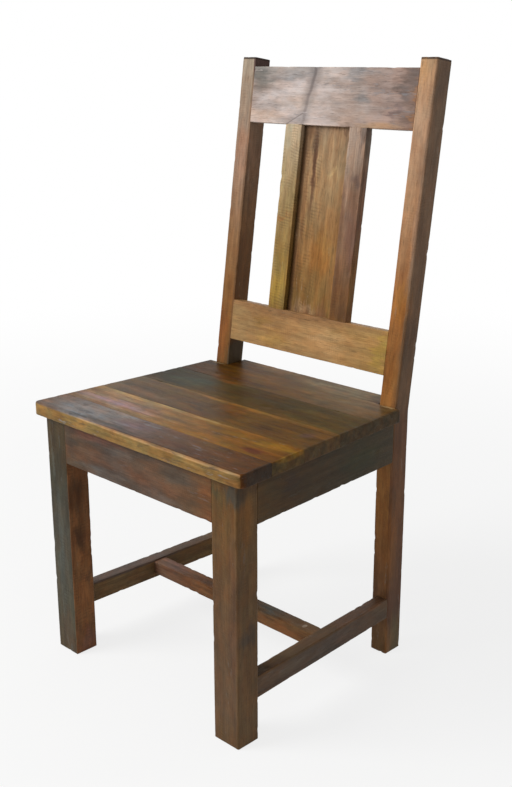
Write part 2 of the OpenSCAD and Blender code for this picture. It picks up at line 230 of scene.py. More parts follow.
def section(shape, radii, inset, across_rows, through_rows, seams):
    """A ring round a board's section as four sides of (a, b) points, each from mid-arris to mid-arris."""
    width, depth = shape.width, shape.depth
    half = ARC_STEPS // 2
    low_side, high_side = (0.0 if seam else inset for seam in seams)
    corners = ((0, 0), (1, 0), (1, 1), (0, 1))
    arcs = []
    for k, (right, back) in enumerate(corners):
        r = max(radii[k] - inset, LEAST_RADIUS)
        ca = width - high_side - r if right else low_side + r
        cb = depth - inset - r if back else inset + r
        start = math.radians(180 + 90 * k)
        turns = [start + math.radians(90) * j / ARC_STEPS for j in range(ARC_STEPS + 1)]
        arcs.append([(ca + r * math.cos(t), cb + r * math.sin(t)) for t in turns])
    keep_a = [min(max(a, low_side), width - high_side) for a in across_rows]
    keep_b = [min(max(b, inset), depth - inset) for b in through_rows]
    flats = (
        [(a, inset) for a in keep_a],
        [(width - high_side, b) for b in keep_b],
        [(a, depth - inset) for a in reversed(keep_a)],
        [(low_side, b) for b in reversed(keep_b)],
    )
    return [
        arcs[k][half:] + flats[k] + arcs[(k + 1) % 4][:half + 1]
        for k in range(4)
    ]


def rounded_end(shape, end, easing):
    """Stations that round one end over, each a place along and an inset; a butted end runs on."""
    tuck = TUCK if easing == BUTT else 0
    turns = [math.radians(90) * j / END_STEPS for j in range(END_STEPS + 1)]
    stations = [(easing * (1 - math.cos(t)) - tuck, easing * (1 - math.sin(t))) for t in turns]
    if end:
        stations = [(shape.length - s, inset) for s, inset in reversed(stations)]
    return stations


def band_faces(mesh, rings):
    """Joins each ring of points to the next."""
    around = [sum(ring, []) for ring in rings]
    count = len(around[0])
    for near, far in zip(around, around[1:]):
        for j in range(count):
            k = (j + 1) % count
            mesh.faces.new((near[j], near[k], far[k], far[j]))


def cap_end(mesh, ring, loop, add):
    """Closes an end with a grid between the ring's four sides."""
    front = ring[0] + [ring[1][0]]
    right = ring[1] + [ring[2][0]]
    back = [ring[3][0]] + ring[2][::-1]
    left = [ring[0][0]] + ring[3][::-1]
    front_spots = loop[0] + [loop[1][0]]
    back_spots = [loop[3][0]] + loop[2][::-1]
    grid = [front]
    for j in range(1, len(right) - 1):
        share = j / (len(right) - 1)
        row = [left[j]]
        for i in range(1, len(front) - 1):
            near, far = front_spots[i], back_spots[i]
            row.append(add(*(n + (f - n) * share for n, f in zip(near, far))))
        grid.append(row + [right[j]])
    grid.append(back)
    for low, high in zip(grid, grid[1:]):
        for i in range(len(low) - 1):
            mesh.faces.new((low[i], low[i + 1], high[i + 1], high[i]))


def board_mesh(shape, radii, ends, cuts_across, cuts_through, rebate, seams):
    """A board's skin, with the place (s, a, b) of each of its points on the board, in mm."""
    across_rows = rows(max(radii[0], radii[3]), shape.width - max(radii[1], radii[2]), cuts_across)
    through_rows = rows(max(radii[0], radii[1]), shape.depth - max(radii[2], radii[3]), cuts_through)
    middle = [(s, 0.0) for s in rows(ends[0], shape.length - ends[1])]
    stations = rounded_end(shape, 0, ends[0]) + middle + rounded_end(shape, 1, ends[1])
    mesh = bmesh.new()
    spots = []

    def add(s, a, b):
        if rebate and b > rebate[1]:
            a = min(a, shape.width - rebate[0])
        spots.append((s, a, b))
        return mesh.verts.new(shape.place(s, a, b))

    loops = []
    for s, inset in stations:
        sides = section(shape, radii, inset, across_rows, through_rows, seams)
        loops.append([[(s, a, b) for a, b in side[:-1]] for side in sides])
    rings = [[[add(*spot) for spot in side] for side in loop] for loop in loops]
    band_faces(mesh, rings)
    cap_end(mesh, rings[0], loops[0], add)
    cap_end(mesh, rings[-1], loops[-1], add)
    bmesh.ops.recalc_face_normals(mesh, faces=mesh.faces)
    return mesh, spots


def edge_share(places, size, ends, seams):
    """1 on an arris, fading to 0; there is no wear beside a butted end or a glued seam."""
    from_low, from_high = places.copy(), size - places
    from_low[:, 0] += EDGE_REACH * (ends[0] == BUTT)
    from_high[:, 0] += EDGE_REACH * (ends[1] == BUTT)
    from_low[:, 1] += EDGE_REACH * seams[0]
    from_high[:, 1] += EDGE_REACH * seams[1]
    from_side = np.sort(np.minimum(from_low, from_high), axis=1)
    return np.clip(1 - (from_side[:, 0] + from_side[:, 1]) / EDGE_REACH, 0, 1)


def wear_depth(mark, p, edge, waves, chips):
    """How far a point of a timber has worn in, in mm; p is its place in mm and mark its own seed."""
    slow, soft, chip = (
        noise.noise(Vector((p[0] / along, p[1] / across, p[2] / across)) + mark)
        for along, across in WEAR_WAVES
    )
    depth = waves * (0.5 + 0.5 * slow)
    depth += edge * edge * (0.5 + 0.5 * soft) * EDGE_DEPTH
    depth += edge * chips * max(0.0, chip - CHIP_START) * CHIP_DEPTH
    return max(depth, 0.0)


def add_dents(depth, places, size, dents, seed):
    """Adds small round hollows, scattered over the board's four long sides."""
    rng = random.Random(seed)
    for _ in range(dents):
        centre = np.array([rng.uniform(0, side) for side in size])
        axis = rng.choice((1, 2))
        centre[axis] = rng.choice((0.0, size[axis]))
        radius = rng.uniform(*DENT_RADIUS)
        reach = np.linalg.norm((places - centre) / DENT_STRETCH, axis=1) / radius
        depth += rng.uniform(*DENT_DEPTH) * np.clip(1 - reach ** 2, 0, 1) ** 2


def press_in(data, depth):
    """Moves a mesh's points in along their normals, by depth in mm."""
    normals, co = np.zeros(len(depth) * 3), np.zeros(len(depth) * 3)
    data.vertex_normals.foreach_get("vector", normals)
    data.vertices.foreach_get("co", co)
    co = co.reshape(-1, 3) - normals.reshape(-1, 3) * (depth * MM)[:, None]
    data.vertices.foreach_set("co", co.ravel())


def worn_timber(node, shape, seed, radii=EASED, ends=(BUTT, BUTT), waves=0.22, chips=0.6, dents=8,
                cuts_across=(), cuts_through=(), rebate=None, scar=None, seams=(False, False)):
    """A new piece that stands for a CAD board: its arrises eased, its faces wavy, chipped and dented."""
    mesh, spots = board_mesh(shape, radii, ends, cuts_across, cuts_through, rebate, seams)
    data = bpy.data.meshes.new("worn_" + node)
    mesh.to_mesh(data)
    mesh.free()
    places = np.array(spots)
    size = np.array((shape.length, shape.width, shape.depth))
    edge = edge_share(places, size, ends, seams)
    mark = Vector((seed * 7.3, seed * 3.1, seed * 5.7))
    depth = np.array([
        wear_depth(mark, p, e, waves, chips) for p, e in zip(places.tolist(), edge.tolist())
    ])
    add_dents(depth, places, size, dents, seed)
    if scar is not None:
        depth += scar(places / size, shape)
    press_in(data, depth)
    data.polygons.foreach_set("use_smooth", [True] * len(data.polygons))
    grain = data.attributes.new("board_place", "FLOAT_VECTOR", "POINT")
    grain.data.foreach_set("vector", (places * MM).ravel())
    wear = data.attributes.new("arris_wear", "FLOAT", "POINT")
    wear.data.foreach_set("value", edge)
    data.update()
    piece = bpy.data.objects.new("worn_" + node, data)
    bpy.context.scene.collection.objects.link(piece)
    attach(piece, "root")
    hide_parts(node)
    return piece, Vector(size * MM)


def crack_line(v):
    """How far along the crest its crack lies, as a share of the length; v is the share across."""
    sways = [swing * np.sin(turns * v + start) for turns, start, swing in CRACK_WANDER]
    return CRACK[0] + (CRACK[1] - CRACK[0]) * v + sum(sways)


def crack_groove(shares, shape):
    """The shallow hollow along the crest's crack, in mm, on its front face."""
    away = np.abs(shares[:, 0] - crack_line(shares[:, 1])) * shape.length
    return CRACK_DEPTH * np.clip(1 - away / CRACK_REACH, 0, 1) * (shares[:, 2] < 0.5)


# ---------- materials ----------

WAX_GLOSS = 0.10  # specular level of old wax that has dulled
SEAT_GLOSS = 0.06  # and of the seat, where it is rubbed thin
PORE_TONE, SAW_TONE = "2a1d14", "33231a"
CRACK_STAIN, CRACK_SPLIT, CRACK_BRANCH = "7f7876", "5c5250", "544848"  # tones at the crack

# Layers of noise: waves to the metre along, across and through the board, how far one seed shifts
# it, detail and roughness.
LAYERS = {
    "torn": ((16, 60, 60), 5.3, 4.0, 0.62),
    "clouds": ((15, 55, 55), 3.1, 5.0, 0.62),
    "bands": ((3.5, 110, 110), 7.7, 4.0, 0.6),
    "fibres": ((13, 760, 760), 1.9, 3.0, 0.6),
    "pores": ((55, 1500, 1500), 2.3, 1.0, 0.5),
    "dapple": ((26, 60, 60), 6.7, 3.0, 0.6),
    "spots": ((60, 110, 110), 5.9, 3.0, 0.6),
    "saw_drift": ((30, 20, 20), 4.1, 3.0, 0.5),
    "saw_kept": ((32, 70, 70), 6.1, 4.0, 0.5),
    "rubbed": ((30, 55, 55), 8.9, 3.0, 0.5),
    "flecks": ((24, 130, 130), 9.7, 5.0, 0.68),
    "fleck_zones": ((6, 22, 22), 4.9, 2.0, 0.5),
}
TORN_REACH = (0.09, 0.034)  # metres, how far a stain's outline strays along and across

# How a layer changes the colour's red, green and blue at its two ends, for a strength of 1.
MOTTLE = ((-0.40, -0.47, -0.54), (0.34, 0.31, 0.27))
STREAK = ((-0.17, -0.21, -0.26), (0.16, 0.15, 0.10))
TINT = ((0.09, -0.02, -0.10), (-0.09, 0.02, 0.10))
RUBBED = (0.5, 0.4, 0.25)


def tone(code):
    """A colour written as six hex digits, as the linear colour that a shader takes."""
    channels = [int(code[k:k + 2], 16) / 255 for k in (0, 2, 4)]
    return (*(c / 12.92 if c <= 0.04045 else ((c + 0.055) / 1.055) ** 2.4 for c in channels), 1.0)


def scaled(changes, strength):
    """White changed in red, green and blue, to multiply a colour by."""
    return (*(1 + change * strength for change in changes), 1)


class Nodes:
    """The node tree of a material or a world, with the few kinds of step that the looks are made of."""

    def __init__(self, owner):
        owner.use_nodes = True
        self.owner = owner
        self.tree = owner.node_tree
        self.surface = self.tree.nodes.get("Principled BSDF")

    def add(self, kind, **settings):
        made = self.tree.nodes.new(kind)
        for setting, value in settings.items():
            setattr(made, setting, value)
        return made

    def feed(self, socket, value):
        if isinstance(value, bpy.types.NodeSocket):
            self.tree.links.new(value, socket)
        else:
            socket.default_value = value

    def attribute(self, name, output):
        return self.add("ShaderNodeAttribute", attribute_name=name).outputs[output]

    def object_place(self):
        return self.add("ShaderNodeTexCoord").outputs["Object"]

    def operate(self, kind, operation, values):
        made = self.add(kind, operation=operation)
        for socket, value in zip(made.inputs, values):
            self.feed(socket, value)
        return made.outputs

    def math(self, operation, *values):
        return self.operate("ShaderNodeMath", operation, values)[0]

    def times(self, value, factor, plus=None):
        if plus is None:
            return self.math("MULTIPLY", value, factor)
        return self.math("MULTIPLY_ADD", value, factor, plus)

    def vector(self, operation, *values):
        made = self.operate("ShaderNodeVectorMath", operation, values)
        return made["Value" if operation == "LENGTH" else "Vector"]

    def noise(self, place, scale, shift=0.0, detail=2.0, roughness=0.5, colour=False):
        """Noise with its own number of waves to the metre along, across and through the board."""
        stretched = self.vector("MULTIPLY_ADD", place, scale, (shift, shift * 0.7, shift * 1.3))
        made = self.add("ShaderNodeTexNoise")
        made.inputs["Scale"].default_value = 1.0
        made.inputs["Detail"].default_value = detail
        made.inputs["Roughness"].default_value = roughness
        self.feed(made.inputs["Vector"], stretched)
        return made.outputs["Color" if colour else 0]

    def spread(self, value, low, high, out_low=0.0, out_high=1.0):
        """Takes low..high to out_low..out_high with soft ends."""
        made = self.add("ShaderNodeMapRange", interpolation_type="SMOOTHSTEP")
        self.feed(made.inputs["Value"], value)
        for socket, number in zip(made.inputs[1:5], (low, high, out_low, out_high)):
            socket.default_value = number
        return made.outputs["Result"]

    def mix(self, share, under, over, blend="MIX"):
        made = self.add("ShaderNodeMix", data_type="RGBA", blend_type=blend)
        self.feed(made.inputs[0], share)
        self.feed(made.inputs[6], under)
        self.feed(made.inputs[7], over)
        return made.outputs[2]

    def ramp(self, value, stops):
        made = self.add("ShaderNodeValToRGB")
        self.feed(made.inputs[0], value)
        elements = made.color_ramp.elements
        while len(elements) < len(stops):
            elements.new(1.0)
        for element, (place, code) in zip(elements, stops.items()):
            element.position = place / 100
            element.color = tone(code)
        return made.outputs["Color"]

    def split(self, value):
        made = self.add("ShaderNodeSeparateXYZ")
        self.feed(made.inputs[0], value)
        return made.outputs

    def finish(self, colour, roughness, height, strength, distance):
        """Feeds the surface its colour and roughness, and its bump from a height."""
        bump = self.add("ShaderNodeBump")
        bump.inputs["Strength"].default_value = strength
        bump.inputs["Distance"].default_value = distance
        self.feed(bump.inputs["Height"], height)
        self.feed(self.surface.inputs["Base Color"], colour)
        self.feed(self.surface.inputs["Roughness"], roughness)
        self.feed(self.surface.inputs["Normal"], bump.outputs["Normal"])
        return self.owner


class Wood(Nodes):
    """Old waxed timber, which each step adds to: its colour, its height for the bump, its roughness.

    A CAD node has no board_place: it gives the low corner of its box, and its grain runs along x."""

    def __init__(self, name, size, seed, low, rough):
        super().__init__(bpy.data.materials.new(name))
        self.size = size
        self.seed = seed
        if low is None:
            self.place = self.attribute("board_place", "Vector")
        else:
            self.place = self.vector("SUBTRACT", self.object_place(), tuple(low))
        self.share = self.vector("MULTIPLY", self.place, tuple(1 / side for side in size))
        self.clouds, self.bands, self.fibres = (self.layer(kind) for kind in ("clouds", "bands", "fibres"))
        self.pores = self.spread(self.layer("pores"), 0.63, 0.72)
        self.height = self.times(self.fibres, 0.5, self.times(self.bands, 0.8))
        self.height = self.times(self.pores, -0.35, self.height)
        self.roughness = self.times(self.clouds, 0.22, rough - 0.11)

    def layer(self, name, shift=0, colour=False):
        scale, seed_shift, detail, roughness = LAYERS[name]
        return self.noise(self.place, scale, self.seed * seed_shift + shift, detail, roughness, colour)

    def cover(self, share, code):
        self.colour = self.mix(share, self.colour, tone(code))

    def raise_by(self, value, amount):
        self.height = self.times(value, amount, self.height)

    def multiply(self, factor):
        self.colour = self.mix(1.0, self.colour, factor, "MULTIPLY")

    def vary(self, share, changes, strength):
        self.multiply(self.mix(share, scaled(changes[0], strength), scaled(changes[1], strength)))

    def lay_tones(self, stops, faces, patches):
        """The tones along the board, then clean-edged faces and ragged patches over them: stains and old
        paint, and in places painted shadow, painted highlight and painted sheen.
        """
        torn = self.layer("torn", colour=True)
        reach = (*(far / side for far, side in zip(TORN_REACH, self.size)), 0.0)
        torn = self.vector("MULTIPLY_ADD", torn, reach, tuple(-r / 2 for r in reach))
        torn = self.vector("ADD", self.share, torn)
        self.colour = self.ramp(self.split(torn)[0], stops)
        for face in faces:
            self.patch(self.share, 1.1, 0.75, *face)
        for stain in patches:
            self.patch(torn, 1.4, 0.3, *stain)

    def patch(self, place, outer, inner, code, centre, reach, strength):
        """A tone round a centre; it is full up to inner times its reach and gone from outer times it."""
        scale = tuple(100 / r for r in reach)
        offset = tuple(-c / r for c, r in zip(centre, reach))
        away = self.vector("LENGTH", self.vector("MULTIPLY_ADD", place, scale, offset))
        self.cover(self.spread(away, outer, inner, 0.0, strength / 100), code)

    def weather(self, mottle, streak, tint, fibre):
        """Clouds, streaks, warm and cool dapples, spots, fibres and pores, each at its strength."""
        self.vary(self.spread(self.clouds, 0.33, 0.67), MOTTLE, mottle)
        self.vary(self.spread(self.bands, 0.34, 0.66), STREAK, streak)
        self.vary(self.spread(self.layer("dapple"), 0.36, 0.64), TINT, tint)
        self.multiply(self.spread(self.layer("spots"), 0.34, 0.66, 1 - 0.10 * tint, 1 + 0.09 * tint))
        self.multiply(self.spread(self.fibres, 0.28, 0.72, 1 - 0.14 * fibre, 1 + 0.13 * fibre))
        self.cover(self.times(self.pores, 0.5), PORE_TONE)

    def saw(self, strength, pitch, across):
        """Curved strokes of a saw across the board; pitch in mm, across (low, high) where they fade."""
        along, side, _ = self.split(self.place)
        sweep = self.times(self.math("POWER", side, 2.0), 2.2, along)
        sweep = self.times(self.layer("saw_drift"), 0.016, sweep)
        turns = self.times(sweep, 2 * math.pi / (pitch * MM))
        strokes = self.spread(self.math("SINE", turns), -0.4, 1.0)
        marks = self.times(strokes, self.spread(self.layer("saw_kept"), 0.42, 0.66))
        if across:
            fade = self.spread(self.split(self.share)[1], across[1], across[0])
            marks = self.times(marks, fade)
        self.cover(self.times(marks, 0.5 * strength), SAW_TONE)
        self.raise_by(marks, -0.8 * strength)

    def away_from(self, u, line):
        """Metres along the board from a line across it."""
        gap = self.math("ABSOLUTE", self.math("SUBTRACT", u, line))
        return self.times(gap, self.size[0])

    def crack(self):
        """The crest's crack in its groove, a broad grey stain about it, and the finer crack beside it."""
        u, v, _ = self.split(self.share)
        line = self.times(v, CRACK[1] - CRACK[0], CRACK[0])
        for turns, start, swing in CRACK_WANDER:
            sway = self.math("SINE", self.times(v, turns, start))
            line = self.times(sway, swing, line)
        away = self.away_from(u, line)
        upwards = self.spread(v, 0.0, 1.0, 0.5, 1.0)
        self.cover(self.times(self.spread(away, 0.020, 0.002, 0.0, 0.7), upwards), CRACK_STAIN)
        split = self.times(self.spread(away, 0.0055, 0.0004), upwards)
        self.cover(self.times(split, 0.6), CRACK_SPLIT)
        away = self.away_from(u, self.times(v, 0.5, CRACK[0] - 0.1))
        fine = self.times(self.spread(away, 0.0035, 0.0006), self.spread(v, 0.26, 0.18))
        self.cover(self.times(fine, 0.5), CRACK_BRANCH)
        self.raise_by(split, -1.2)

    def rub_arrises(self, rub):
        wear = self.spread(self.attribute("arris_wear", "Fac"), 0.6, 1.0)
        rubbed = self.times(wear, self.spread(self.layer("rubbed"), 0.4, 0.68))
        bright = self.mix(1.0, self.colour, scaled(RUBBED, rub), "MULTIPLY")
        self.colour = self.mix(rubbed, self.colour, bright)

    def fleck(self, index, code, cover, strength):
        """Flakes of old paint, thinned along the fibres: more in some zones, and matt."""
        chips = self.layer("flecks", 31 * index)
        zones = self.math("SUBTRACT", self.layer("fleck_zones", 17 * index), 0.5)
        chips = self.times(zones, 0.35, chips)
        chips = self.spread(chips, 0.69 - cover, 0.73 - cover)
        thin = self.times(chips, self.spread(self.fibres, 0.30, 0.60, 0.4 * strength, strength))
        self.cover(thin, code)
        self.roughness = self.times(thin, 0.16, self.roughness)
        self.raise_by(chips, 0.4)


def timber_finish(name, size, seed, stops, patches=(), faces=(), saw=0.0, saw_pitch=4.5,
                  saw_across=None, flecks=(), mottle=0.5, streak=0.8, tint=1.0, fibre=1.0, rub=0.5,
                  rough=0.46, gloss=WAX_GLOSS, cracked=False, low=None):
    """A timber's wood. saw, mottle, streak, tint, fibre and rub are strengths; FINISHES has the rest."""
    wood = Wood(name, size, seed, low, rough)
    wood.lay_tones(stops, faces, patches)
    wood.weather(mottle, streak, tint, fibre)
    if saw:
        wood.saw(saw, saw_pitch, saw_across)
    if cracked:
        wood.crack()
    if low is None:
        wood.rub_arrises(rub)
    for index, fleck in enumerate(flecks):
        wood.fleck(index, *fleck)
    wood.surface.inputs["Specular IOR Level"].default_value = gloss
    return wood.finish(wood.colour, wood.roughness, wood.height, 0.55, 0.0007)


def steel_finish():
    """Zinc-plated screws gone dull, with spots of rust scattered by noise."""
    nodes = Nodes(bpy.data.materials.new("screw_steel"))
    place = nodes.object_place()
    spots = nodes.noise(place, (420, 420, 420), 3.0, detail=4.0, roughness=0.65)
    rust = nodes.spread(spots, 0.5, 0.62)
    fine = nodes.noise(place, (1900, 1900, 1900), 7.0)
    nodes.feed(nodes.surface.inputs["Metallic"], nodes.spread(rust, 0.2, 0.8, 1.0, 0.1))
    colour = nodes.mix(rust, tone("8d8a84"), tone("6b3d22"))
    roughness = nodes.times(rust, 0.4, 0.38)
    return nodes.finish(colour, roughness, nodes.math("ADD", fine, rust), 0.4, 0.0002)


# Each board's finish. stops: how far along, and the tone there. faces and patches: tone, centre and
# reach along, across and through the board, and strength. All of these are in percent. flecks: tone,
# cover and strength. A stile's width runs from its outer side in to the panel.
ALL = 900  # a reach that takes in the whole board
FRAME_FRONT, FRAME_OUTSIDE = (0, 50), (100, 60)  # sides: centre and reach through the board
BACK_FRONT, SEAT_TOP = (0, 120), (100, 40)


def on_side(side, stains):
    """Patches on one side, from (tone, along, across, reach along, reach across, strength) each."""
    depth, reach = side
    return tuple(
        (code, (along, across, depth), (far_along, far_across, reach), strength)
        for code, along, across, far_along, far_across, strength in stains
    )


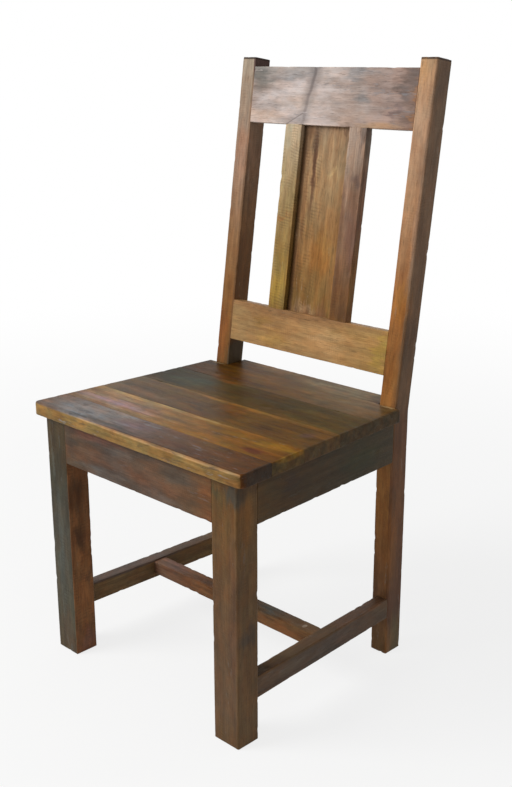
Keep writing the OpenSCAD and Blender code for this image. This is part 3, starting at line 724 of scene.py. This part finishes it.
FINISHES = {
    "front_leg_left": dict(
        stops={0: "463c2a", 12: "4b4536", 35: "4a463a", 55: "464238", 78: "3d392c", 92: "443826",
               100: "4a3e2a"},
        faces=(("7c5537", (50, 100, 56), (ALL, 6, 66), 100), ("90633e", (30, 100, 56), (20, 6, 66), 70)),
        patches=(
            ("4a3c28", (90, 90, 0), (8, 30, 50), 80), ("5a4636", (5, 60, 0), (12, 40, 50), 50),
            ("565d5a", (45, 45, 0), (28, 20, 50), 35), ("3a2618", (70, 100, 30), (6, 20, 50), 50),
            ("3e2a20", (50, 100, 40), (5, 20, 40), 60), ("46302a", (34, 100, 80), (3, 20, 40), 40),
            ("845c4c", (4, 100, 60), (5, 20, 50), 70),
        ),
        flecks=(("686c66", 0.05, 0.3),), saw=0.5, saw_pitch=6.0, tint=0.6, mottle=0.5, streak=0.45, rub=0.0),
    "front_leg_right": dict(
        stops={0: "60462a", 12: "634c37", 40: "624a34", 60: "664a30", 85: "684b2a", 100: "634828"},
        faces=(("6e5438", (50, 100, 50), (ALL, 10, ALL), 80),),
        patches=(
            # 3e4440 and 44402c at the top of the front face are grey paint darkened with painted shadow
            # under the seat.
            ("3e4440", (95.5, 85, 0), (4, 40, 50), 70), ("44402c", (95, 15, 0), (3, 25, 50), 60),
            ("6e5630", (94, 45, 0), (3, 20, 50), 60), ("5a4033", (50, 85, 0), (40, 20, 50), 40),
            ("80582e", (86, 100, 40), (10, 30, 50), 60), ("4a4038", (43, 100, 50), (4, 30, 50), 70),
            ("54402e", (98, 100, 50), (3, 30, 70), 60),
        ),
        flecks=(("77706a", 0.03, 0.3),), saw=0.25, tint=0.6, mottle=0.4, streak=0.35, fibre=0.65, rub=0.3),
    "rear_post_left": dict(
        stops={0: "604226", 20: "765232", 42: "80572f", 50: "865a2c", 60: "7e5832", 70: "8a6646",
               85: "9c8270", 100: "a0907e"},
        faces=(("6a4c34", (50, 100, 50), (ALL, 14, ALL), 55), ("4c4636", (46, 100, 50), (3.5, 14, ALL), 75),
               ("4a3436", (100, 100, 50), (3.5, 14, ALL), 80),
               ("2e2018", (100, 50, 50), (0.4, ALL, ALL), 90)),
        patches=on_side(FRAME_FRONT, (
            ("8a5028", 50, 30, 6, 40, 50), ("a0745a", 84, 60, 5, 40, 50), ("6a5030", 44.5, 50, 3, 60, 60),
        )),
        flecks=(("a49a90", 0.03, 0.3),), saw=0.2, tint=0.4, mottle=0.4, streak=0.6),
    "rear_post_right": dict(
        stops={0: "644a2c", 8: "77573d", 17: "8a613e", 27: "a87340", 42: "94683c", 49: "906032",
               58: "946234", 67: "986a44", 76: "aa8260", 90: "b39074", 100: "ac8866"},
        faces=(("75604f", (74, 100, 50), (36, 14, ALL), 80), ("624638", (24, 100, 50), (22, 14, ALL), 80),
               ("2e2018", (100, 50, 50), (0.4, ALL, ALL), 90)),
        patches=(
            ("6c6248", (2, 100, 60), (5, 30, 50), 70), ("986638", (20, 95, 0), (8, 30, 50), 60),
            ("8c6440", (2, 95, 0), (5, 30, 50), 60), ("583c28", (12, 10, 0), (14, 30, 50), 50),
            ("947660", (80, 100, 2), (20, 25, 12), 70), ("86603c", (50, 100, 2), (14, 25, 12), 60),
            ("a8702c", (62, 50, 0), (3, 50, 50), 50), ("a8713a", (46, 30, 0), (3, 50, 50), 50),
            ("c08a52", (97, 30, 0), (2, 40, 40), 40), ("584a44", (97, 100, 60), (4, 30, 50), 50),
            ("534438", (55, 100, 40), (5, 30, 60), 50),
        ),
        flecks=(("a89c92", 0.03, 0.3),), saw=0.2, tint=0.4, mottle=0.45, streak=0.5, fibre=0.7),
    "front_apron": dict(
        stops={0: "52402f", 30: "544339", 55: "604a3a", 80: "604a38", 100: "684a30"},
        patches=on_side(FRAME_FRONT, (
            ("4e4e4c", 36, 75, 16, 16, 50), ("76483a", 24, 90, 20, 16, 45), ("4c4642", 62, 92, 16, 12, 30),
            ("70492f", 10, 40, 20, 20, 40), ("704a36", 60, 35, 20, 20, 40), ("5c6060", 30, 12, 20, 14, 35),
            ("6c605a", 66, 12, 16, 14, 50), ("403a34", 5, 60, 5, 40, 50), ("7a4e2e", 96, 40, 6, 50, 50),
            ("464440", 80, 70, 12, 20, 40),
        )),
        flecks=(("6d6a68", 0.04, 0.3),), saw=0.2, tint=0.8, mottle=0.6, streak=0.4, rub=0.2),
    "rear_apron": dict(
        stops={0: "5a4430", 40: "554030", 70: "5e4834", 100: "5a4430"},
        patches=on_side(FRAME_OUTSIDE, (("6a4a2e", 30, 40, 15, 30, 50), ("4e4e48", 75, 60, 12, 30, 40))),
        flecks=(("70706c", 0.05, 0.4),), saw=0.4, mottle=0.5),
    "side_apron_left": dict(
        stops={0: "58442b", 30: "4b3d2c", 70: "47402f", 100: "504534"},
        patches=on_side(FRAME_OUTSIDE, (("3e422e", 60, 50, 15, 30, 50), ("624a26", 20, 80, 12, 20, 40))),
        flecks=(("5c5c54", 0.05, 0.35),), saw=0.3, tint=0.6, mottle=0.45),
    "side_apron_right": dict(
        stops={0: "58442b", 20: "4d3c29", 45: "483b2b", 75: "443d2d", 100: "4c4131"},
        patches=on_side(FRAME_OUTSIDE, (
            ("3e402c", 76, 45, 14, 28, 50), ("5e4824", 22, 96, 8, 10, 60), ("3c3636", 22, 60, 6, 20, 40),
        )),
        flecks=(("5c5c54", 0.04, 0.3),), saw=0.2, tint=0.6, mottle=0.35, streak=0.6),
    "side_stretcher_left": dict(
        stops={0: "745a3c", 30: "785f42", 60: "6c5438", 100: "745834"},
        faces=(("5e504c", (40, 100, 50), (50, 12, ALL), 85), ("5a4630", (80, 100, 50), (25, 12, ALL), 50)),
        flecks=(("8a827a", 0.05, 0.35),), tint=0.7, mottle=0.5),
    "side_stretcher_right": dict(
        stops={0: "624c3a", 25: "5f4f42", 60: "5c4c42", 100: "624e3c"},
        faces=(("644c32", (40, 100, 50), (60, 12, ALL), 80), ("725846", (80, 100, 50), (20, 12, ALL), 80)),
        patches=(("4c3e34", (50, 10, 100), (50, 25, 50), 60),),
        flecks=(("7a726a", 0.05, 0.35),), tint=0.7, mottle=0.5),
    "cross_stretcher": dict(
        stops={0: "705444", 15: "805c44", 30: "7c5436", 45: "684b30", 65: "5e462e", 80: "62482e",
               100: "715232"},
        patches=(
            ("7a5a54", (12, 50, 100), (8, 60, 50), 60), ("4f5450", (72, 50, 100), (5, 50, 50), 60),
            ("8a5a34", (80, 0, 40), (14, 40, 60), 50),
        ),
        faces=(("a89480", (93, 50, 100), (1, 20, 30), 80),),
        flecks=(("877e78", 0.04, 0.35),), tint=0.9, mottle=0.5),
    "crest_rail": dict(
        # The pale pinkish grey along the crest is partly its old paint and partly painted sheen, reflected
        # light put into the colour.
        stops={0: "a69690", 10: "b9aca8", 30: "b9aeac", 50: "b5a7a2", 68: "a6968f", 85: "a18c84",
               100: "7a6256"},
        patches=on_side(BACK_FRONT, (
            ("8a8480", 22, 100, 32, 18, 60), ("7a7c80", 66, 92, 8, 12, 75), ("7c7c7e", 69, 50, 6, 10, 70),
            # c6bab6, dacdca, c8b4a8 and ceb6a6, the palest patches, are painted highlights of reflected
            # light over the paint.
            ("74726e", 4, 85, 9, 30, 90), ("c6bab6", 46, 85, 6, 16, 60), ("dacdca", 18, 18, 7, 16, 75),
            ("828284", 26, 85, 12, 10, 60), ("c8b4a8", 33, 40, 12, 20, 60), ("ceb6a6", 10, 15, 12, 16, 60),
            ("b08c68", 80, 2, 14, 10, 70), ("a28672", 62, 10, 13, 14, 35), ("625a58", 96, 85, 6, 24, 70),
            ("6a605e", 92, 55, 4, 16, 70), ("6e6062", 88, 30, 3, 14, 60), ("a07450", 100, 35, 2, 45, 60),
        )),
        flecks=(("84868a", 0.06, 0.5), ("cdc0bc", 0.05, 0.5)), tint=0.35, mottle=0.55, streak=0.3, fibre=0.6,
        rough=0.5, cracked=True),
    "lower_back_rail": dict(
        stops={0: "9e7e54", 30: "a68054", 50: "b08a5c", 62: "b99466", 80: "b08a5a", 100: "aa8650"},
        patches=on_side(BACK_FRONT, (
            ("947050", 30, 100, 50, 20, 50), ("866442", 58, 100, 36, 26, 70), ("b8924e", 30, 25, 12, 20, 50),
            ("c49e70", 62, 45, 8, 20, 50), ("8f6c34", 20, 60, 6, 14, 50), ("8f6c3c", 80, 75, 10, 14, 50),
            ("b29448", 98, 50, 4, 50, 60),
        )),
        flecks=(("8d7a60", 0.04, 0.35),), saw=0.2, tint=0.45, mottle=0.45, streak=0.6),
    "splat_stile_left": dict(
        stops={0: "8c6e38", 12: "9a7e46", 30: "967a42", 45: "967a4c", 60: "9a8158", 75: "a48b68",
               88: "b09878", 100: "bea98e"},
        patches=on_side(BACK_FRONT, (
            ("b49c70", 60, 0, 50, 25, 50), ("7c6238", 35, 100, 40, 20, 40), ("b8963c", 12, 40, 10, 50, 50),
            ("a8662e", 50, 30, 2, 50, 40), ("b0a890", 95, 20, 8, 50, 40),
        )),
        flecks=(("b0a68e", 0.04, 0.35),), saw=0.5, saw_pitch=5.0, tint=0.5, mottle=0.3, streak=0.6),
    "splat_stile_right": dict(
        stops={0: "7c562e", 12: "755234", 30: "7c5c44", 50: "84644e", 70: "886c5a", 85: "9c8474",
               100: "9e887a"},
        faces=(("906c44", (15, 0, 50), (35, 5, 66), 90), ("7c7066", (97, 0, 50), (14, 5, 66), 90)),
        patches=(
            ("ac9482", (80, 70, 0), (20, 30, 120), 60), ("b4a49a", (97, 75, 0), (9, 35, 120), 60),
            ("6e5e56", (99, 8, 0), (8, 24, 120), 80), ("5e5a4e", (20, 100, 60), (30, 6, 60), 60),
            ("785c54", (45, 20, 0), (15, 40, 120), 50), ("5e4a48", (73, 30, 0), (3, 40, 120), 50),
            ("5e4230", (4, 30, 0), (6, 50, 120), 50),
        ),
        flecks=(("8e8480", 0.05, 0.35),), saw=0.25, tint=0.5, mottle=0.45),
    "splat_panel": dict(
        stops={0: "886648", 8: "836236", 25: "856238", 40: "906d44", 55: "977650", 75: "9f815e",
               90: "9b8062", 100: "8e745c"},
        # 402a18 down the panel's left edge is painted shadow, cast by the left stile's step.
        faces=(("402a18", (45, 0, 50), (ALL, 15, ALL), 80),),
        patches=on_side(BACK_FRONT, (
            ("54392a", 80, 29, 20, 5, 90), ("6a4c34", 50, 16, 40, 6, 50), ("64452e", 94, 20, 6, 8, 60),
            # The thin 5c4030 band along the very top, 98 percent up, is painted shadow under the crest rail.
            ("5c4030", 62, 29, 12, 5, 60), ("5c4030", 98, 70, 1.5, 25, 50), ("b89c70", 76, 66, 1.6, 10, 60),
            ("a8702c", 35, 60, 12, 20, 40), ("86603a", 20, 85, 8, 12, 50), ("b0906e", 4, 40, 3, 20, 50),
        )),
        flecks=(("a08f78", 0.04, 0.35),), saw=0.55, saw_pitch=6.0, saw_across=(0.3, 0.7), tint=0.6,
        mottle=0.5, streak=0.7),
    "seat_board_front": dict(
        # The mauve grey from 18 to 34 percent along is old blue-grey paint with a painted sheen of reflected
        # light in it.
        stops={0: "6e5646", 18: "827a78", 34: "817874", 46: "705e5a", 60: "654c3c", 75: "5e3e24",
               100: "5a391a"},
        # b89468, the pale band along the top of the front edge, is partly rubbed wood and partly a painted
        # highlight on the rounded arris.
        faces=(("8b6f42", (50, 0, 30), (ALL, 5.5, 78), 100), ("b89468", (70, 3, 90), (50, 3, 22), 80),
               ("6a4c2c", (101, 0, 40), (5, 5.5, 78), 60), ("3e3229", (100, 60, 50), (1.2, 50, ALL), 90)),
        patches=on_side(SEAT_TOP, (
            # 727a82 and 7a6a76 are blue-grey paint with a painted sheen of reflected light in it.
            ("727a82", 22, 42, 12, 20, 60), ("7a6a76", 44, 60, 10, 20, 50), ("4e4a48", 34, 20, 26, 10, 70),
            ("5a4c44", 16, 72, 3, 12, 70), ("565250", 12, 12, 12, 10, 40), ("4e382a", 72, 10, 30, 10, 35),
            ("6e4c22", 80, 90, 12, 12, 60), ("4a3020", 70, 35, 12, 12, 50),
        )),
        flecks=(("8a9096", 0.06, 0.45), ("3c3a3c", 0.09, 0.5)), mottle=0.55, streak=0.7, rub=1.0, rough=0.4,
        gloss=SEAT_GLOSS),
    "seat_board_second": dict(
        stops={0: "7a5e3c", 15: "947a5e", 30: "947858", 45: "8a6a40", 60: "865f26", 80: "845a1a",
               100: "684416"},
        faces=(("5a4a2e", (100, 50, 30), (1.2, ALL, 70), 85), ("80602a", (100, 60, 100), (1.2, 50, 40), 80)),
        patches=on_side(SEAT_TOP, (
            ("967a80", 20, 36, 20, 17, 90), ("6a503e", 18, 4, 12, 16, 80), ("8c6f62", 33, 55, 10, 14, 70),
            ("a88a58", 35, 95, 40, 8, 70), ("6a4c34", 46, 50, 14, 10, 70), ("5c2c18", 89, 25, 5, 15, 90),
            ("a2761e", 92, 70, 8, 20, 60), ("4e3820", 72, 50, 3, 8, 60), ("946816", 62, 20, 10, 12, 50),
        )),
        flecks=(("9f9084", 0.05, 0.4), ("4a301c", 0.05, 0.5)), mottle=0.6, streak=0.8, rough=0.4,
        gloss=SEAT_GLOSS),
    "seat_board_third": dict(
        stops={0: "66563f", 12: "5e4930", 30: "5e4522", 50: "5c3e16", 70: "64461a", 100: "624622"},
        faces=(("5a4830", (100, 50, 50), (1.2, ALL, ALL), 85),),
        patches=on_side(SEAT_TOP, (
            ("6a5444", 18, 25, 20, 20, 60), ("463628", 20, 50, 28, 12, 50), ("8a6428", 62, 97, 45, 9, 80),
            ("7c501e", 56, 70, 6, 30, 60), ("3c2c1c", 45, 30, 3.5, 10, 80), ("4a3418", 55, 45, 10, 25, 50),
            ("40321e", 76, 35, 5, 10, 70), ("5e4348", 93, 55, 3, 16, 50),
        )),
        flecks=(("766c64", 0.05, 0.4), ("33281c", 0.05, 0.5)), mottle=0.65, streak=0.8, rough=0.38,
        gloss=SEAT_GLOSS),
    "seat_board_fourth": dict(
        stops={0: "322c1e", 20: "423c2a", 35: "4a3b1e", 50: "503c1a", 70: "50401f", 100: "544422"},
        faces=(("524434", (100, 50, 50), (1.2, ALL, ALL), 85),),
        patches=on_side(SEAT_TOP, (
            ("464c3e", 20, 50, 10, 30, 60), ("6c400f", 30, 98, 8, 12, 60), ("6c5024", 50, 3, 40, 8, 50),
            ("5e4a26", 84, 50, 8, 30, 25), ("5a4630", 4, 8, 6, 14, 50), ("3e3828", 62, 55, 12, 20, 50),
        )),
        flecks=(("565a4e", 0.06, 0.4),), mottle=0.65, streak=0.7, rough=0.4, gloss=0.04),
    "seat_board_rear": dict(
        stops={0: "3e2608", 25: "5c3c14", 50: "664a22", 70: "705836", 85: "746042", 100: "664a28"},
        faces=(("504434", (100, 30, 50), (1.2, ALL, ALL), 85),),
        patches=on_side(SEAT_TOP, (
            ("86745a", 70, 85, 28, 25, 70), ("7a5224", 38, 45, 10, 14, 50), ("846a4a", 28, 97, 19, 20, 80),
            ("4c3620", 42, 10, 5, 12, 50), ("aa9a74", 94, 60, 3, 2, 80), ("a09070", 6, 60, 3, 2, 70),
            ("4a3828", 100, 85, 8, 30, 70),
        )),
        flecks=(("7a7062", 0.05, 0.4), ("3a2c1c", 0.05, 0.4)), mottle=0.65, streak=0.7, rough=0.36,
        gloss=0.035),
}


# ---------- the chair ----------

SEAT_BOARDS = ("front", "second", "third", "fourth", "rear")
SLOTS = {
    "front_apron": "apron_timber", "rear_apron": "apron_timber", "cross_stretcher": "stretcher_timber",
    "crest_rail": "crest_timber", "lower_back_rail": "lower_rail_timber", "splat_panel": "panel_timber",
}
SLOTS |= {"seat_board_" + name: "seat_timber_" + name for name in SEAT_BOARDS}
for side in ("left", "right"):
    SLOTS |= {
        "front_leg_" + side: "front_leg_timber", "rear_post_" + side: "post_timber",
        "side_apron_" + side: "apron_timber", "side_stretcher_" + side: "stretcher_timber",
        "splat_stile_" + side: "stile_timber_" + side,
    }


def board(node, along, across, thick, **how):
    return dict(shape=Timber(board_rings(node, along, across, thick)), **how)


def side_shapes(side, out):
    """The timbers of one side: leg, post, apron, stretcher and stile."""
    leg, post, stile = "front_leg_" + side, "rear_post_" + side, "splat_stile_" + side
    front = (FREE_ARRIS, JOINT_ARRIS) if side == "left" else (JOINT_ARRIS, FREE_ARRIS)
    radii = (*front, JOINT_ARRIS, JOINT_ARRIS)
    shapes = {
        leg: board(leg, Z, X, Y, radii=radii, ends=(FREE_END, BUTT)),
        post: dict(shape=Timber(post_rings(post)), radii=radii, ends=(FREE_END, FREE_END), chips=0.5),
    }
    for node in ("side_apron_" + side, "side_stretcher_" + side):
        shapes[node] = board(node, Y, Z, out)
    shapes[stile] = dict(shape=Timber(stile_rings(stile, -out)), radii=STILE,
                         cuts_through=REBATE_STEP, rebate=REBATE)
    return shapes


def seat_shapes():
    """The seat's boards: the front one has a rounded front edge, the rear one a notch at each post."""
    shapes = {}
    for name in SEAT_BOARDS:
        node = "seat_board_" + name
        shapes[node] = dict(shape=SeatBoard(node), radii=SHARP, ends=(FREE_END, FREE_END), waves=0.25,
                            chips=0.3, dents=14, seams=(name != "front", name != "rear"))
    shapes["seat_board_front"]["radii"] = SEAT_FRONT
    step = SEAT.notch_y - shapes["seat_board_rear"]["shape"].y0
    shapes["seat_board_rear"]["cuts_across"] = (step - NOTCH_ROW, step + NOTCH_ROW)
    return shapes


def timber_shapes():
    """Each timber's shape and how it is eased, as {node: settings of worn_timber}."""
    shapes = side_shapes("left", -X) | side_shapes("right", X)
    for node in ("front_apron", "rear_apron"):
        shapes[node] = board(node, X, Z, Y)
    shapes["cross_stretcher"] = board("cross_stretcher", X, Y, Z)
    shapes["crest_rail"] = board("crest_rail", X, UP_RAKE, THROUGH_RAKE, scar=crack_groove)
    shapes["lower_back_rail"] = board("lower_back_rail", X, UP_RAKE, THROUGH_RAKE)
    shapes["splat_panel"] = board("splat_panel", UP_RAKE, X, THROUGH_RAKE, radii=PANEL)
    return shapes | seat_shapes()


def block_finish(node, seed):
    """The corner blocks' plain wood, never waxed: its grain runs left to right."""
    low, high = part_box(node)
    return timber_finish(node + "_finish", high - low, seed, low=low, rough=0.62,
                         stops={0: "8a6c46", 40: "94764e", 70: "886a44", 100: "8e7048"},
                         flecks=(("5c4a34", 0.05, 0.6),), saw=0.5)


def paint_cad(node, material):
    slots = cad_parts[node].data.materials
    slots.clear()
    slots.append(material)


def build_chair():
    for seed, (node, how) in enumerate(timber_shapes().items(), start=1):
        piece, size = worn_timber(node, seed=seed, **how)
        finish = timber_finish(node + "_finish", size, seed, **FINISHES[node])
        piece.data.materials.append(finish)
    for seed, corner in enumerate(("front_left", "front_right", "rear_left", "rear_right"), start=31):
        node = "corner_block_" + corner
        paint_cad(node, block_finish(node, seed))
    steel = steel_finish()
    for node in ("block_screws", "seat_screws"):
        paint_cad(node, steel)


# ---------- stage, light and camera ----------

FLOOR_SIDE = 60.0  # metres
FLOOR_TONE = (0.8, 0.8, 0.79, 1)
FLOOR_FADE = (0.3, 3.0)  # metres from the middle over which the floor goes white to the camera
FLOOR_LIFT = 0.8  # and how white it is already at the first of them
AMBIENT = 0.40  # strength of the sky on the chair
KEY_WATTS = 104.0  # the lamp at the chair's front left
KEY_SIZE = 2.0
KEY_PLACE, KEY_TARGET = Vector((-1.6, -2.6, 2.6)), Vector((0, 0, 0.5))
LENS, SENSOR = 50.3, 36.0  # mm
AZIMUTH, ELEVATION, ROLL = (math.radians(turn) for turn in (44.393, 17.068, -0.153))
AIM = Vector((-0.00153, 0.03115, 0.45275))  # the point that the camera looks at
DISTANCE = 1.852832


def looked_at(nodes):
    """1 for a ray that sees the background: straight, in a reflection or through something clear."""
    path = nodes.add("ShaderNodeLightPath")
    seen = path.outputs["Is Camera Ray"]
    for kind in ("Is Glossy Ray", "Is Transmission Ray"):
        seen = nodes.math("MAXIMUM", seen, path.outputs[kind])
    return seen


def floor_finish():
    """Pale and matt, lifted towards white for rays that look at the background."""
    nodes = Nodes(bpy.data.materials.new("pale_floor"))
    matt = nodes.surface
    matt.inputs["Base Color"].default_value = FLOOR_TONE
    matt.inputs["Roughness"].default_value = 0.9
    matt.inputs["Specular IOR Level"].default_value = 0.0
    away = nodes.vector("LENGTH", nodes.object_place())
    lift = nodes.times(looked_at(nodes), nodes.spread(away, *FLOOR_FADE, FLOOR_LIFT, 1.0))
    mix = nodes.add("ShaderNodeMixShader")
    white = nodes.add("ShaderNodeEmission")
    for socket, value in zip(mix.inputs, (lift, matt.outputs[0], white.outputs[0])):
        nodes.feed(socket, value)
    nodes.feed(nodes.tree.nodes["Material Output"].inputs["Surface"], mix.outputs[0])
    return nodes.owner


def build_floor():
    """A plain pale floor under a white backdrop; it keeps the chair's shadow."""
    mesh = bpy.data.meshes.new("floor")
    half = FLOOR_SIDE / 2
    corners = [(x * half, y * half, 0) for x, y in ((-1, -1), (1, -1), (1, 1), (-1, 1))]
    mesh.from_pydata(corners, [], [(0, 1, 2, 3)])
    mesh.materials.append(floor_finish())
    floor = bpy.data.objects.new("floor", mesh)
    bpy.context.scene.collection.objects.link(floor)


def build_light():
    """A dim white sky that looks fully white itself, and one soft lamp."""
    world = bpy.data.worlds.new("studio")
    bpy.context.scene.world = world
    nodes = Nodes(world)
    sky = nodes.tree.nodes["Background"]
    sky.inputs["Color"].default_value = (1, 1, 1, 1)
    nodes.feed(sky.inputs["Strength"], nodes.spread(looked_at(nodes), 0.0, 1.0, AMBIENT, 1.0))
    lamp = bpy.data.lights.new("key", "AREA")
    lamp.shape = "DISK"
    lamp.size = KEY_SIZE
    lamp.energy = KEY_WATTS
    key = bpy.data.objects.new("key", lamp)
    bpy.context.scene.collection.objects.link(key)
    key.location = KEY_PLACE
    key.rotation_euler = (KEY_TARGET - KEY_PLACE).to_track_quat("-Z", "Y").to_euler()


def build_camera():
    data = bpy.data.cameras.new("camera")
    data.lens = LENS
    data.sensor_width = SENSOR
    camera = bpy.data.objects.new("camera", data)
    bpy.context.scene.collection.objects.link(camera)
    level = Matrix.Rotation(AZIMUTH, 3, "Z") @ Matrix.Rotation(math.pi / 2 - ELEVATION, 3, "X")
    turn = level @ Matrix.Rotation(ROLL, 3, "Z")
    camera.matrix_world = Matrix.Translation(AIM + turn.col[2] * DISTANCE) @ turn.to_4x4()
    bpy.context.scene.camera = camera


build_chair()
build_floor()
build_light()
build_camera()
bpy.context.scene.view_settings.view_transform = "Standard"
